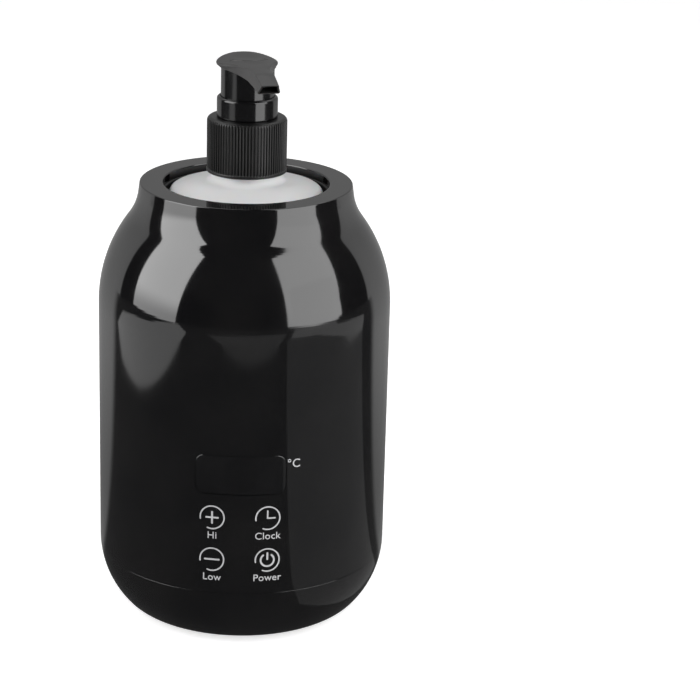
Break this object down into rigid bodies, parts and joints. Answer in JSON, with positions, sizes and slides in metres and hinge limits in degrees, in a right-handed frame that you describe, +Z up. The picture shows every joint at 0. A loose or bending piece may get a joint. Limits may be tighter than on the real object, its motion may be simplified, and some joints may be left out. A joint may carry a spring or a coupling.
{
  "type": "massage oil warmer",
  "caption": "Round black heated body with a touch panel and a well that holds a white pump bottle of massage oil.",
  "frame": {"origin": "on the resting surface, under the axis of the round body", "axes": "+Z up along the body's axis, -Y towards the panel's front, +X to the right seen from the front"},
  "size_m": [0.1, 0.1, 0.1951],
  "materials": {
    "shell": "gloss black moulding",
    "window": "dark see-through lens, gloss",
    "rubber": "matt rubber",
    "steel": "plain steel",
    "well_coat": "drawn sheet with a dark coat, satin",
    "inner_plastic": "matt black moulding",
    "silicone": "soft silicone",
    "heater": "amber heating film",
    "insulation": "pale felt",
    "board": "green solder mask",
    "sensor": "dipped resin",
    "fuse": "plain metal can",
    "display": "dark display block",
    "foam": "conductive foam",
    "red_lead": "insulated lead",
    "pale_lead": "glass-braided lead",
    "bottle": "white blow moulding, satin gloss",
    "pump_black": "black moulding, satin gloss",
    "pump_clear": "natural polypropylene"
  },
  "bodies": {
    "warmer": {"outer_shell": "shell", "base_cover": "shell", "rubber_feet": "rubber", "base_screws": "steel", "heating_well": "well_coat", "well_support": "inner_plastic", "bottle_pad": "silicone", "heater_band": "heater", "insulation_sleeve": "insulation", "temperature_sensor": "sensor", "thermal_fuse": "fuse", "control_board": "board", "board_screws": "steel", "display_module": "display", "display_window": "window", "touch_pads": "foam", "buzzer": "inner_plastic", "power_inlet": "inner_plastic", "power_leads": "red_lead", "heater_leads": "pale_lead"},
    "bottle": {"bottle": "bottle"},
    "pump_engine": {"neck_gasket": "silicone", "pump_collar": "pump_black", "pump_housing": "pump_clear", "piston_stop": "pump_clear", "dip_tube": "pump_clear", "inlet_ball": "steel", "return_spring": "steel"},
    "closure": {"closure_cap": "pump_black"},
    "plunger": {"piston_seal": "pump_clear"},
    "pump_head": {"pump_stem": "pump_clear", "outlet_ball": "steel", "pump_head": "pump_black"}
  },
  "joints": [
    {"name": "bottle_lift", "type": "slide", "parent": "warmer", "child": "bottle", "axis": [0, 0, 1], "range_m": [0, 0.16]},
    {"name": "pump_rise", "type": "slide", "parent": "bottle", "child": "pump_engine", "axis": [0, 0, 1], "range_m": [0, 0.0048]},
    {"name": "cap_unscrew", "type": "hinge", "parent": "pump_engine", "child": "closure", "pos_m": [0, 0, 0.1565], "axis": [0, 0, 1], "range_deg": [0, 540]},
    {"name": "head_press", "type": "slide", "parent": "pump_engine", "child": "plunger", "axis": [0, 0, -1], "range_m": [0, 0.008], "stiffness_N_per_m": 600, "springref_m": -0.004, "deforming": ["return_spring"]},
    {"name": "head_swivel", "type": "hinge", "parent": "plunger", "child": "pump_head", "pos_m": [0, 0, 0.177], "axis": [0, 0, 1], "continuous": true}
  ],
  "couplings": [
    {"joint": "pump_rise", "follows": "cap_unscrew", "m_per_rad": 0.00050532}
  ]
}
